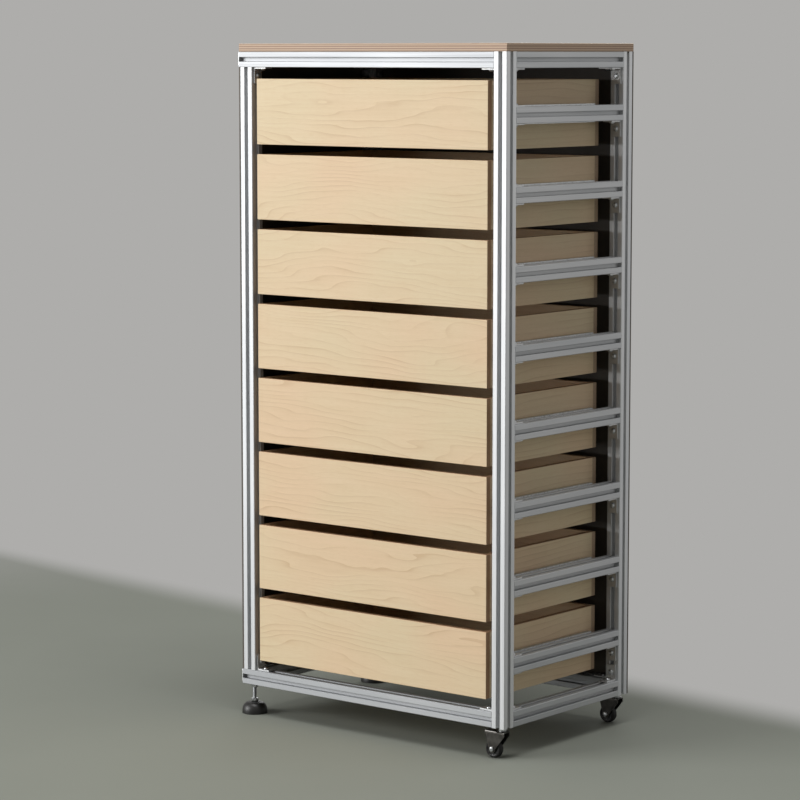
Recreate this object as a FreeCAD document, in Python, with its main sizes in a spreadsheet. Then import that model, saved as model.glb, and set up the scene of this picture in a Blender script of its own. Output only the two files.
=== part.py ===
import FreeCAD, Part
import os
import Sketcher

# Multi-drawer cabinet: a frame of slotted aluminium extrusion with eight plywood
# drawers on ball-bearing slides, two swivel casters and two levelling feet.
# Millimetres. +X is the user's right, +Y is the back, +Z is up.
# The origin is at the bottom centre of the whole cabinet, on the floor.

DRAWERS = 8

# Driving sizes: alias, value in millimetres or degrees
SIZES = [
    # Frame, outer sizes
    ("frame_width", 644.0),
    ("frame_depth", 400.0),
    ("frame_height", 1245.0),
    ("ground_clearance", 59.0),
    # Slotted extrusion section
    ("profile", 30.0),
    ("edge_bevel", 1.0),
    ("slot_mouth", 8.2),
    ("mouth_bevel", 0.7),
    ("lip_thick", 2.2),
    ("chamber_width", 16.5),
    ("slot_depth", 9.0),
    ("slot_floor", 8.0),
    ("core_bore", 6.8),
    # Corner brackets
    ("bracket_leg", 31.0),
    ("bracket_thick", 3.0),
    ("bracket_width", 20.0),
    ("bracket_root", 2.0),
    # Panels
    ("top_thick", 15.0),
    ("sheet_thick", 3.0),
    # Drawers
    ("bay_margin", 22.0),
    ("drawer_gap", 19.0),
    ("drawer_length", 350.0),
    ("board_thick", 12.0),
    ("bottom_thick", 6.0),
    ("bottom_lift", 8.0),
    ("groove_depth", 5.0),
    # Slides: three nested steel channels
    ("slide_thick", 12.7),
    ("slide_height", 35.0),
    ("slide_length", 300.0),
    ("slide_setback", 20.0),
    ("slide_steel", 1.2),
    ("slide_play", 0.6),
    ("race_lip", 1.6),
    ("web_play", 0.9),
    ("outer_reach", 9.0),
    ("middle_reach", 10.5),
    # Casters
    ("wheel_diameter", 34.0),
    ("wheel_width", 13.0),
    ("hub_diameter", 14.0),
    ("hub_proud", 0.5),
    ("hub_side_play", 0.3),
    ("axle_diameter", 6.0),
    ("axle_play", 0.1),
    ("axle_head_diameter", 10.0),
    ("axle_head_thick", 2.5),
    ("caster_trail", 18.0),
    ("fork_plate", 2.0),
    ("fork_lead", 10.0),
    ("fork_tail", 34.0),
    ("fork_skirt", 9.0),
    ("fork_boss", 7.0),
    ("crown_diameter", 26.0),
    ("swivel_play", 0.3),
    ("neck_diameter", 8.0),
    ("neck_play", 0.2),
    ("collar_diameter", 15.0),
    ("collar_height", 6.0),
    ("rivet_diameter", 13.0),
    ("rivet_thick", 2.0),
    ("stem_play", 0.1),
    ("stem_reach", 20.0),
    # Levelling feet
    ("pad_diameter", 50.0),
    ("pad_height", 23.0),
    ("pad_rim", 14.0),
    ("pad_socket", 24.0),
    ("stud_diameter", 8.0),
    ("stud_seat", 10.0),
    ("stud_reach", 14.0),
    ("stud_hexagon", 6.0),
    ("stud_play", 0.1),
    ("foot_hole", 8.4),
    ("locknut_flats", 13.0),
    ("locknut_height", 6.5),
    ("tnut_width", 15.5),
    ("tnut_side", 0.5),
    ("tnut_height", 4.6),
    ("tnut_taper", 2.9),
]

# Places and lengths that follow from the driving sizes: name, formula
PLACES = [
    ("half_profile", "Sizes.profile / 2"),
    ("foot_overhang", "Sizes.pad_diameter / 2 - Sizes.profile / 2"),
    ("left_x", "-(Sizes.frame_width + Places.foot_overhang) / 2 + Places.foot_overhang"),
    ("right_x", "Places.left_x + Sizes.frame_width"),
    ("outer_left", "Places.left_x - Sizes.sheet_thick"),
    ("outer_width", "Places.right_x - Places.outer_left"),
    ("front_y", "-Sizes.frame_depth / 2"),
    ("rear_y", "Sizes.frame_depth / 2"),
    ("base_z", "Sizes.ground_clearance"),
    ("top_z", "Places.base_z + Sizes.frame_height"),
    ("left_axis", "Places.left_x + Places.half_profile"),
    ("right_axis", "Places.right_x - Places.half_profile"),
    ("front_axis", "Places.front_y + Places.half_profile"),
    ("rear_axis", "Places.rear_y - Places.half_profile"),
    ("top_axis", "Places.top_z - Places.half_profile"),
    ("bottom_axis", "Places.base_z + Places.half_profile"),
    ("bar_length", "Places.outer_width - Sizes.profile"),
    ("rail_length", "Sizes.frame_depth - 2 * Sizes.profile"),
    ("short_post_length", "Sizes.frame_height - 2 * Sizes.profile"),
    ("bay_left", "Places.left_x + Sizes.profile"),
    ("bay_right", "Places.right_x - Sizes.profile"),
    ("bay_front", "Places.front_y + Sizes.profile"),
    ("bay_rear", "Places.rear_y - Sizes.profile"),
    ("drawer_width", "Places.bay_right - Places.bay_left - 2 * Sizes.slide_thick"),
    ("drawer_left", "Places.bay_left + Sizes.slide_thick"),
    ("side_length", "Sizes.drawer_length - 2 * Sizes.board_thick"),
    ("drawers_span", "Places.short_post_length - 2 * Sizes.bay_margin"),
    ("drawer_height", f"(Places.drawers_span + Sizes.drawer_gap) / {DRAWERS} - Sizes.drawer_gap"),
    ("drawer_pitch", "Places.drawer_height + Sizes.drawer_gap"),
    ("bay_top", "Places.top_z - Sizes.profile"),
    ("bay_floor", "Places.base_z + Sizes.profile"),
    ("first_drawer_z", "Places.bay_top - Sizes.bay_margin - Places.drawer_height / 2"),
    ("slide_front", "Places.front_y + Sizes.slide_setback"),
    ("axle_z", "Sizes.wheel_diameter / 2"),
    ("crown_top", "Places.base_z - Sizes.collar_height - Sizes.swivel_play"),
    ("fork_room", "Sizes.wheel_width + 2 * Sizes.hub_proud + 2 * Sizes.hub_side_play"),
    ("fork_width", "Places.fork_room + 2 * Sizes.fork_plate"),
]

doc = FreeCAD.newDocument("Cabinet")
sizes = doc.addObject("Spreadsheet::Sheet", "Sizes")
for row, (alias, value) in enumerate(SIZES, start=1):
    cell = f"A{row}"
    sizes.set(cell, str(value))
    sizes.setAlias(cell, alias)
doc.recompute()

places = doc.addObject("App::VarSet", "Places")
for name, formula in PLACES:
    places.addProperty("App::PropertyFloat", name)
    places.setExpression(name, formula)
    doc.recompute()

TO_X = FreeCAD.Rotation(FreeCAD.Vector(0, 1, 0), 90)
TO_Y = FreeCAD.Rotation(FreeCAD.Vector(1, 0, 0), -90)
UPRIGHT = FreeCAD.Rotation()

nodes = []


def value_of(formula):
    """The present value of a formula in sheet sizes and places."""
    result = places.evalExpression(str(formula))
    return float(getattr(result, "Value", result))


def place(item, where, turn=UPRIGHT):
    """Give an object a turn and a position that follows three formulas."""
    item.Placement = FreeCAD.Placement(FreeCAD.Vector(*[value_of(w) for w in where]), turn)
    for axis, formula in zip("xyz", where):
        item.setExpression(f"Placement.Base.{axis}", str(formula))
    return item


def plane(body, role):
    """One of a body's own origin planes or axes."""
    return next(item for item in body.Origin.OriginFeatures if item.Role == role)


def sketch_on(body, name, role, offset=None):
    """An empty sketch on one of the body's origin planes, lifted by a formula."""
    sketch = body.newObject("Sketcher::SketchObject", name)
    sketch.AttachmentSupport = [(plane(body, role), "")]
    sketch.MapMode = "FlatFace"
    if offset is not None:
        sketch.setExpression("AttachmentOffset.Base.z", str(offset))
    return sketch


def pin_point(sketch, edge, end, formulas):
    """Tie one end of an edge to a point given by two formulas."""
    for kind, formula in zip(("DistanceX", "DistanceY"), formulas):
        amount = value_of(formula)
        if abs(amount) < 1e-9:
            axis = -2 if kind == "DistanceX" else -1
            sketch.addConstraint(Sketcher.Constraint("PointOnObject", edge, end, axis))
            continue
        rule = Sketcher.Constraint(kind, -1, 1, edge, end, amount)
        index = sketch.addConstraint(rule)
        sketch.setExpression(f"Constraints[{index}]", str(formula))


def outline(sketch, points):
    """A closed outline of straight edges, every corner tied to its two formulas."""
    corners = [FreeCAD.Vector(value_of(u), value_of(v), 0) for u, v in points]
    first = sketch.GeometryCount
    count = len(points)
    for index in range(count):
        edge = Part.LineSegment(corners[index], corners[(index + 1) % count])
        sketch.addGeometry(edge, False)
    for index in range(count):
        here = first + index
        ahead = first + (index + 1) % count
        sketch.addConstraint(Sketcher.Constraint("Coincident", here, 2, ahead, 1))
        pin_point(sketch, here, 1, points[index])


def circle(sketch, diameter, centre=("0", "0")):
    """A circle whose diameter and centre follow formulas."""
    middle = FreeCAD.Vector(value_of(centre[0]), value_of(centre[1]), 0)
    axis = FreeCAD.Vector(0, 0, 1)
    edge = sketch.addGeometry(Part.Circle(middle, axis, value_of(diameter) / 2), False)
    rule = Sketcher.Constraint("Diameter", edge, value_of(diameter))
    index = sketch.addConstraint(rule)
    sketch.setExpression(f"Constraints[{index}]", str(diameter))
    pin_point(sketch, edge, 3, centre)


def rectangle(sketch, low, high):
    """A rectangle between two corners given by formulas."""
    outline(sketch, [(low[0], low[1]), (high[0], low[1]), (high[0], high[1]), (low[0], high[1])])


def pad(body, name, sketch, length, midplane=False, backwards=False):
    """Raise a sketch into a solid."""
    feature = body.newObject("PartDesign::Pad", name)
    feature.Profile = sketch
    feature.Midplane = midplane
    feature.Reversed = backwards
    feature.setExpression("Length", str(length))
    doc.recompute()
    return feature


def pocket(body, name, sketch, length=None, midplane=False, backwards=False):
    """Cut a sketch out of the solid, and make sure that it took something away."""
    before = body.Shape.Volume
    feature = body.newObject("PartDesign::Pocket", name)
    feature.Profile = sketch
    feature.Reversed = backwards
    if length is None:
        feature.Type = "ThroughAll"
        feature.Midplane = midplane
    else:
        feature.Midplane = midplane
        feature.setExpression("Length", str(length))
    doc.recompute()
    if not body.Shape.Volume < before:
        raise RuntimeError(f"{body.Label}: {name} cuts nothing")
    return feature


def revolve(body, name, sketch, role="Z_Axis"):
    """Turn a half section into a full round."""
    feature = body.newObject("PartDesign::Revolution", name)
    feature.Profile = sketch
    feature.ReferenceAxis = (plane(body, role), [""])
    feature.Angle = 360
    doc.recompute()
    return feature


def new_body(name):
    """A body, not yet placed."""
    body = doc.addObject("PartDesign::Body", name)
    body.Label = name
    return body


def as_node(item, label):
    """Mark an object as a sub-part that gets its own file."""
    item.Label = label
    nodes.append(item)
    return item


def copy_of(body, label, where, turn=UPRIGHT):
    """A linked copy of a finished body, placed by formulas."""
    copy = doc.addObject("App::Link", label)
    copy.LinkedObject = body
    return place(copy, where, turn)


def group(label, members):
    """Several solids that share one node."""
    compound = doc.addObject("Part::Compound", label)
    compound.Links = members
    return as_node(compound, label)


def minus(formula):
    """The same formula with the other sign."""
    return f"-({formula})"


# Frame of slotted extrusion

def extrusion(name, length, bored=False):
    """Square section with one T-slot in each face, standing along +Z; its core may be bored."""
    body = new_body(name)
    half = "Sizes.profile / 2"
    cut = "(Sizes.profile / 2 - Sizes.edge_bevel)"
    section = sketch_on(body, name + "_section", "XY_Plane")
    outline(section, [
        (half, minus(cut)), (half, cut),
        (cut, half), (minus(cut), half),
        (minus(half), cut), (minus(half), minus(cut)),
        (minus(cut), minus(half)), (cut, minus(half)),
    ])
    if bored:
        circle(section, "Sizes.core_bore")
    pad(body, name + "_length", section, length)

    mouth = "Sizes.slot_mouth / 2"
    flare = "(Sizes.slot_mouth / 2 + Sizes.mouth_bevel)"
    wide = "Sizes.chamber_width / 2"
    floor = "Sizes.slot_floor / 2"
    bevel_end = "(Sizes.profile / 2 - Sizes.mouth_bevel)"
    lip_end = "(Sizes.profile / 2 - Sizes.lip_thick)"
    floor_at = "(Sizes.profile / 2 - Sizes.slot_depth)"
    slot = sketch_on(body, name + "_slot", "XY_Plane")
    upper = [(half, flare), (bevel_end, mouth), (lip_end, mouth), (lip_end, wide), (floor_at, floor)]
    lower = [(u, minus(v)) for u, v in reversed(upper)]
    outline(slot, upper + lower)
    first_slot = pocket(body, name + "_first_slot", slot, length, backwards=True)

    slots = body.newObject("PartDesign::PolarPattern", name + "_slots")
    slots.Originals = [first_slot]
    slots.Axis = (plane(body, "Z_Axis"), [""])
    slots.Angle = 360
    slots.Occurrences = 4
    body.Tip = slots
    doc.recompute()
    return body


def frame():
    """Posts, bars and rails, flush on every side."""
    post = extrusion("post_stock", "Sizes.frame_height", bored=True)
    short_post = extrusion("short_post_stock", "Places.short_post_length")
    bar = extrusion("bar_stock", "Places.bar_length", bored=True)
    footed_bar = extrusion("footed_bar_stock", "Places.bar_length", bored=True)
    rail = extrusion("rail_stock", "Places.rail_length")

    hole = sketch_on(footed_bar, "foot_hole_outline", "YZ_Plane")
    circle(hole, "Sizes.foot_hole", ("0", "Sizes.sheet_thick + Places.half_profile"))
    core = "(Sizes.profile - 2 * Sizes.slot_depth)"
    pocket(footed_bar, "foot_hole_cut", hole, core, midplane=True)

    for side, y in (("front", "Places.front_axis"), ("rear", "Places.rear_axis")):
        right = copy_of(post, f"right_{side}_post", ("Places.right_axis", y, "Places.base_z"))
        as_node(right, f"right_{side}_post")
        left = copy_of(short_post, f"left_{side}_post", ("Places.left_axis", y, "Places.bay_floor"))
        as_node(left, f"left_{side}_post")
        upper = copy_of(bar, f"top_{side}_bar", ("Places.outer_left", y, "Places.top_axis"), TO_X)
        as_node(upper, f"top_{side}_bar")
        low = ("Places.outer_left", y, "Places.bottom_axis")
        as_node(copy_of(footed_bar, f"bottom_{side}_bar", low, TO_X), f"bottom_{side}_bar")

    sides = (("left", "Places.left_axis"), ("right", "Places.right_axis"))
    for level, z in (("top", "Places.top_axis"), ("bottom", "Places.bottom_axis")):
        group(f"{level}_side_rails", [
            copy_of(rail, f"{level}_{side}_rail", (x, "Places.bay_front", z), TO_Y)
            for side, x in sides
        ])
    carriers = []
    for number in range(DRAWERS):
        for side, x in sides:
            where = (x, "Places.bay_front", drawer_middle(number))
            carriers.append(copy_of(rail, f"{side}_rail_{number + 1}", where, TO_Y))
    group("drawer_rails", carriers)


def drawer_middle(number):
    """Height of one drawer's middle, counted from the top."""
    return f"Places.first_drawer_z - {number} * Places.drawer_pitch"


def slab(label, low, spans):
    """A plain flat board or sheet from its low corner and its three spans."""
    box = doc.addObject("Part::Box", label)
    for name, span in zip(("Length", "Width", "Height"), spans):
        box.setExpression(name, str(span))
    return place(box, low)


# Corner brackets

def bracket_stock():
    """Two flat legs square to each other, seated on X = 0 and Z = 0."""
    body = new_body("bracket_stock")
    leg = "Sizes.bracket_leg"
    thick = "Sizes.bracket_thick"
    root = "(Sizes.bracket_thick + Sizes.bracket_root)"
    section = sketch_on(body, "bracket_section", "XZ_Plane")
    outline(section, [
        ("0", "0"), (leg, "0"), (leg, thick), (root, thick),
        (thick, root), (thick, leg), ("0", leg),
    ])
    pad(body, "bracket_legs", section, "Sizes.bracket_width", midplane=True)
    return body


def corner_turn(along, up):
    """The turn that lays a bracket's two legs along two given directions."""
    first = FreeCAD.Vector(*along)
    second = FreeCAD.Vector(*up)
    return FreeCAD.Rotation(first, second.cross(first), second)


def corner_brackets():
    """Brackets in the corners of the front and rear faces and at the ends of the side rails."""
    stock = bracket_stock()
    members = []

    def add(where, along, up):
        members.append(copy_of(stock, f"bracket_{len(members) + 1}", where, corner_turn(along, up)))

    for y in ("Places.front_axis", "Places.rear_axis"):
        for x, inward in (("Places.bay_left", 1), ("Places.bay_right", -1)):
            add((x, y, "Places.bay_top"), (inward, 0, 0), (0, 0, -1))
            add((x, y, "Places.bay_floor"), (inward, 0, 0), (0, 0, 1))
    for x in ("Places.left_axis", "Places.right_axis"):
        for y, inward in (("Places.bay_front", 1), ("Places.bay_rear", -1)):
            add((x, y, "Places.bay_top"), (0, inward, 0), (0, 0, -1))
            add((x, y, "Places.bay_floor"), (0, inward, 0), (0, 0, 1))
        for number in range(DRAWERS):
            middle = drawer_middle(number)
            over = f"{middle} + Places.half_profile"
            under = f"{middle} - Places.half_profile"
            add((x, "Places.bay_front", over), (0, 1, 0), (0, 0, 1))
            add((x, "Places.bay_front", under), (0, 1, 0), (0, 0, -1))
            add((x, "Places.bay_rear", under), (0, -1, 0), (0, 0, -1))
    group("corner_brackets", members)


# Top board and thin sheets

def panels():
    """Plywood top over the frame, and thin sheets outside its left posts and its rear face."""
    boards = (
        ("top_panel", "Places.front_y", "Places.top_z",
         ("Places.outer_width", "Sizes.frame_depth + Sizes.sheet_thick", "Sizes.top_thick")),
        ("left_panel", "Places.front_y", "Places.bay_floor",
         ("Sizes.sheet_thick", "Sizes.frame_depth", "Places.short_post_length")),
        ("back_panel", "Places.rear_y", "Places.base_z",
         ("Places.outer_width", "Sizes.sheet_thick", "Sizes.frame_height")),
    )
    for label, y, z, spans in boards:
        as_node(slab(label, ("Places.outer_left", y, z), spans), label)


# Ball-bearing slides

def channel(name, upper):
    """A steel channel along +Y; the upper half of its section is mirrored below."""
    body = new_body(name)
    section = sketch_on(body, name + "_section", "XZ_Plane")
    lower = [(u, minus(v)) for u, v in reversed(upper)]
    outline(section, upper + lower)
    pad(body, name + "_length", section, "Sizes.slide_length", backwards=True)
    return body


def slide_members():
    """Outer, middle and inner channels of one slide, from the rail's face towards the drawer."""
    steel = "Sizes.slide_steel"
    outer_top = "Sizes.slide_height / 2"
    outer_in = f"({outer_top} - {steel})"
    outer_lip = f"({outer_in} - Sizes.race_lip)"
    outer_end = "Sizes.outer_reach"
    outer = channel("outer_member", [
        ("0", outer_top), (outer_end, outer_top), (outer_end, outer_lip),
        (f"({outer_end} - {steel})", outer_lip), (f"({outer_end} - {steel})", outer_in),
        (steel, outer_in),
    ])
    middle_web = f"({steel} + Sizes.web_play)"
    middle_top = f"({outer_lip} - Sizes.slide_play)"
    middle_in = f"({middle_top} - {steel})"
    middle_lip = f"({middle_in} - Sizes.race_lip)"
    middle_end = "Sizes.middle_reach"
    middle = channel("middle_member", [
        (middle_web, middle_top), (middle_end, middle_top), (middle_end, middle_lip),
        (f"({middle_end} - {steel})", middle_lip), (f"({middle_end} - {steel})", middle_in),
        (f"({middle_web} + {steel})", middle_in),
    ])
    inner_top = f"({middle_lip} - Sizes.slide_play)"
    inner_in = f"({inner_top} - {steel})"
    inner_edge = f"({middle_web} + {steel} + Sizes.web_play)"
    inner = channel("inner_member", [
        (f"(Sizes.slide_thick - {steel})", inner_in), (inner_edge, inner_in),
        (inner_edge, inner_top), ("Sizes.slide_thick", inner_top),
    ])
    return outer, middle, inner


def slides():
    """Outer channels on the frame; a pair of middle and a pair of inner channels for each drawer."""
    outer, middle, inner = slide_members()
    half_turn = FreeCAD.Rotation(FreeCAD.Vector(0, 1, 0), 180)
    sides = (("left", "Places.bay_left", UPRIGHT), ("right", "Places.bay_right", half_turn))

    def pair(stock, name, number):
        z = drawer_middle(number)
        return [
            copy_of(stock, f"{side}_{name}_{number + 1}", (x, "Places.slide_front", z), turn)
            for side, x, turn in sides
        ]

    fixed = []
    for number in range(DRAWERS):
        fixed += pair(outer, "outer_member", number)
        group(f"drawer_{number + 1}_middle_members", pair(middle, "middle_member", number))
        group(f"drawer_{number + 1}_inner_members", pair(inner, "inner_member", number))
    group("slide_outer_members", fixed)


# Drawers

def end_board():
    """Front or back board of a drawer, with a stopped groove across its inner face."""
    body = new_body("end_board")
    width = "Places.drawer_width"
    face = sketch_on(body, "end_board_face", "XZ_Plane")
    rectangle(face, ("0", "0"), (width, "Places.drawer_height"))
    pad(body, "end_board_thick", face, "Sizes.board_thick", backwards=True)
    groove = sketch_on(body, "end_groove", "XZ_Plane", "-Sizes.board_thick")
    edge = "(Sizes.board_thick - Sizes.groove_depth)"
    low = (edge, "Sizes.bottom_lift")
    high = (f"({width} - {edge})", "(Sizes.bottom_lift + Sizes.bottom_thick)")
    rectangle(groove, low, high)
    pocket(body, "end_groove_cut", groove, "Sizes.groove_depth", backwards=True)
    return body


def side_board():
    """Left side board of a drawer, grooved along its inner face for the bottom."""
    body = new_body("side_board")
    thick = "Sizes.board_thick"
    groove_at = "(Sizes.board_thick - Sizes.groove_depth)"
    under = "Sizes.bottom_lift"
    over = "(Sizes.bottom_lift + Sizes.bottom_thick)"
    section = sketch_on(body, "side_board_section", "XZ_Plane")
    outline(section, [
        ("0", "0"), (thick, "0"), (thick, under), (groove_at, under),
        (groove_at, over), (thick, over),
        (thick, "Places.drawer_height"), ("0", "Places.drawer_height"),
    ])
    pad(body, "side_board_length", section, "Places.side_length", backwards=True)
    return body


def drawers():
    """Eight open boxes: a front, a back and two sides, with the bottom held in their grooves."""
    ends = end_board()
    sides = side_board()
    half_turn = FreeCAD.Rotation(FreeCAD.Vector(0, 0, 1), 180)
    left = "Places.drawer_left"
    right = "(Places.drawer_left + Places.drawer_width)"
    inner_y = "(Places.front_y + Sizes.board_thick)"
    back_end = "(Places.front_y + Sizes.drawer_length)"
    inner_back = f"({back_end} - Sizes.board_thick)"
    in_groove = "(Sizes.board_thick - Sizes.groove_depth)"
    bottom_spans = (
        f"Places.drawer_width - 2 * {in_groove}",
        f"Sizes.drawer_length - 2 * {in_groove}",
        "Sizes.bottom_thick",
    )
    for number in range(DRAWERS):
        label = f"drawer_{number + 1}"
        low = f"({drawer_middle(number)} - Places.drawer_height / 2)"
        front = copy_of(ends, label + "_front", (left, "Places.front_y", low))
        as_node(front, label + "_front")
        bottom_low = (
            f"{left} + {in_groove}",
            f"Places.front_y + {in_groove}",
            f"{low} + Sizes.bottom_lift",
        )
        group(label + "_box", [
            copy_of(sides, label + "_left_side", (left, inner_y, low)),
            copy_of(sides, label + "_right_side", (right, inner_back, low), half_turn),
            copy_of(ends, label + "_back", (right, back_end, low), half_turn),
            slab(label + "_bottom", bottom_low, bottom_spans),
        ])


# Casters under the right posts

def caster_stem():
    """Stem with its collar, the neck that the fork turns on and the rivet head under it."""
    body = new_body("caster_stem")
    neck_end = "-(Sizes.collar_height + Sizes.fork_plate + 2 * Sizes.swivel_play)"
    rivet_end = f"({neck_end} - Sizes.rivet_thick)"
    rivet = "Sizes.rivet_diameter / 2"
    neck = "Sizes.neck_diameter / 2"
    collar = "Sizes.collar_diameter / 2"
    shaft = "(Sizes.core_bore / 2 - Sizes.stem_play)"
    section = sketch_on(body, "stem_section", "XZ_Plane")
    outline(section, [
        ("0", rivet_end), (rivet, rivet_end), (rivet, neck_end), (neck, neck_end),
        (neck, "-Sizes.collar_height"), (collar, "-Sizes.collar_height"), (collar, "0"),
        (shaft, "0"), (shaft, "Sizes.stem_reach"), ("0", "Sizes.stem_reach"),
    ])
    revolve(body, "stem_round", section)
    return body


def caster_fork():
    """Pressed fork: a crown round the neck and two tapered plates down to the axle."""
    body = new_body("caster_fork")
    axle_drop = "(Places.axle_z - Places.crown_top)"
    ahead = "(Sizes.fork_boss - Sizes.caster_trail)"
    behind = "-(Sizes.fork_boss + Sizes.caster_trail)"
    side = sketch_on(body, "fork_side", "XZ_Plane")
    outline(side, [
        ("Sizes.fork_lead", "0"), ("-Sizes.fork_tail", "0"), ("-Sizes.fork_tail", "-Sizes.fork_plate"),
        (behind, axle_drop), (ahead, axle_drop), ("Sizes.fork_lead", "-Sizes.fork_skirt"),
    ])
    pad(body, "fork_plates", side, "Places.fork_width", midplane=True)
    boss = sketch_on(body, "fork_boss_outline", "XZ_Plane")
    circle(boss, "2 * Sizes.fork_boss", ("-Sizes.caster_trail", axle_drop))
    pad(body, "fork_bosses", boss, "Places.fork_width", midplane=True)
    room = sketch_on(body, "wheel_room", "XZ_Plane")
    clear = "2 * Sizes.fork_lead"
    depth = f"({axle_drop} - {clear})"
    rectangle(room, (f"-(Sizes.fork_tail + {clear})", depth), (clear, "-Sizes.fork_plate"))
    pocket(body, "wheel_room_cut", room, "Places.fork_room", midplane=True)
    crown = sketch_on(body, "crown_outline", "XY_Plane")
    circle(crown, "Sizes.crown_diameter")
    pad(body, "crown", crown, "Sizes.fork_plate", backwards=True)
    neck = sketch_on(body, "neck_hole_outline", "XY_Plane")
    circle(neck, "Sizes.neck_diameter + 2 * Sizes.neck_play")
    pocket(body, "neck_hole", neck, "Sizes.fork_plate")
    axle = sketch_on(body, "axle_hole_outline", "XZ_Plane")
    circle(axle, "Sizes.axle_diameter", ("-Sizes.caster_trail", axle_drop))
    pocket(body, "axle_holes", axle, "2 * Places.fork_width", midplane=True)
    return body


def caster_axle():
    """Axle pin with a flat head at each end, along Y."""
    body = new_body("caster_axle")
    half = "Places.fork_width / 2"
    end = "(Places.fork_width / 2 + Sizes.axle_head_thick)"
    pin = "Sizes.axle_diameter / 2"
    head = "Sizes.axle_head_diameter / 2"
    section = sketch_on(body, "axle_section", "XY_Plane")
    outline(section, [
        ("0", minus(end)), (head, minus(end)), (head, minus(half)), (pin, minus(half)),
        (pin, half), (head, half), (head, end), ("0", end),
    ])
    revolve(body, "axle_round", section, "Y_Axis")
    return body


def caster_wheel():
    """Solid wheel along Y, with a hub that stands proud of both its sides."""
    body = new_body("caster_wheel")
    bore = "(Sizes.axle_diameter / 2 + Sizes.axle_play)"
    hub = "Sizes.hub_diameter / 2"
    hub_end = "(Sizes.wheel_width / 2 + Sizes.hub_proud)"
    side = "Sizes.wheel_width / 2"
    tread = "Sizes.wheel_diameter / 2"
    section = sketch_on(body, "wheel_section", "XY_Plane")
    upper = [(bore, hub_end), (hub, hub_end), (hub, side), (tread, side)]
    lower = [(u, minus(v)) for u, v in reversed(upper)]
    outline(section, upper + lower)
    revolve(body, "wheel_round", section, "Y_Axis")
    return body


def casters():
    """Two swivel casters, both trailing to the left at rest."""
    stem = caster_stem()
    fork = caster_fork()
    axle = caster_axle()
    wheel = caster_wheel()
    stems = []
    for side, y in (("front", "Places.front_axis"), ("rear", "Places.rear_axis")):
        stems.append(copy_of(stem, f"{side}_stem", ("Places.right_axis", y, "Places.base_z")))
        label = f"{side}_caster"
        under_stem = ("Places.right_axis", y, "Places.crown_top")
        as_node(copy_of(fork, label + "_fork", under_stem), label + "_fork")
        centre = ("Places.right_axis - Sizes.caster_trail", y, "Places.axle_z")
        as_node(copy_of(axle, label + "_axle", centre), label + "_axle")
        as_node(copy_of(wheel, label + "_wheel", centre), label + "_wheel")
    group("caster_stems", stems)


# Levelling feet under the left ends of the bottom bars

def hexagon(sketch, flats):
    """A hexagon with two flats across X."""
    half = f"({flats} / 2)"
    corner = f"({flats} / 2 * tan(30 deg))"
    tip = f"({flats} / 2 / cos(30 deg))"
    outline(sketch, [
        (half, minus(corner)), (half, corner), ("0", tip),
        (minus(half), corner), (minus(half), minus(corner)), ("0", minus(tip)),
    ])


def foot_pad():
    """Moulded pad: a broad domed disc with a socket for the stud."""
    body = new_body("foot_pad")
    edge = "Sizes.pad_diameter / 2"
    socket = "Sizes.pad_socket / 2"
    hole = "(Sizes.stud_diameter / 2 + Sizes.stud_play)"
    seat = "(Sizes.pad_height - Sizes.stud_seat)"
    section = sketch_on(body, "pad_section", "XZ_Plane")
    outline(section, [
        ("0", "0"), (edge, "0"), (edge, "Sizes.pad_rim"), (socket, "Sizes.pad_height"),
        (hole, "Sizes.pad_height"), (hole, seat), ("0", seat),
    ])
    revolve(body, "pad_round", section)
    return body


def foot_stud():
    """Threaded stud with a hexagon just above the pad."""
    body = new_body("foot_stud")
    radius = "Sizes.stud_diameter / 2"
    low = "(Sizes.pad_height - Sizes.stud_seat)"
    high = "(Places.base_z + Sizes.stud_reach)"
    section = sketch_on(body, "stud_section", "XZ_Plane")
    rectangle(section, ("0", low), (radius, high))
    revolve(body, "stud_round", section)
    flats = sketch_on(body, "stud_flats", "XY_Plane", "Sizes.pad_height + Sizes.swivel_play")
    hexagon(flats, "Sizes.locknut_flats")
    pad(body, "stud_hexagon", flats, "Sizes.stud_hexagon")
    return body


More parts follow.
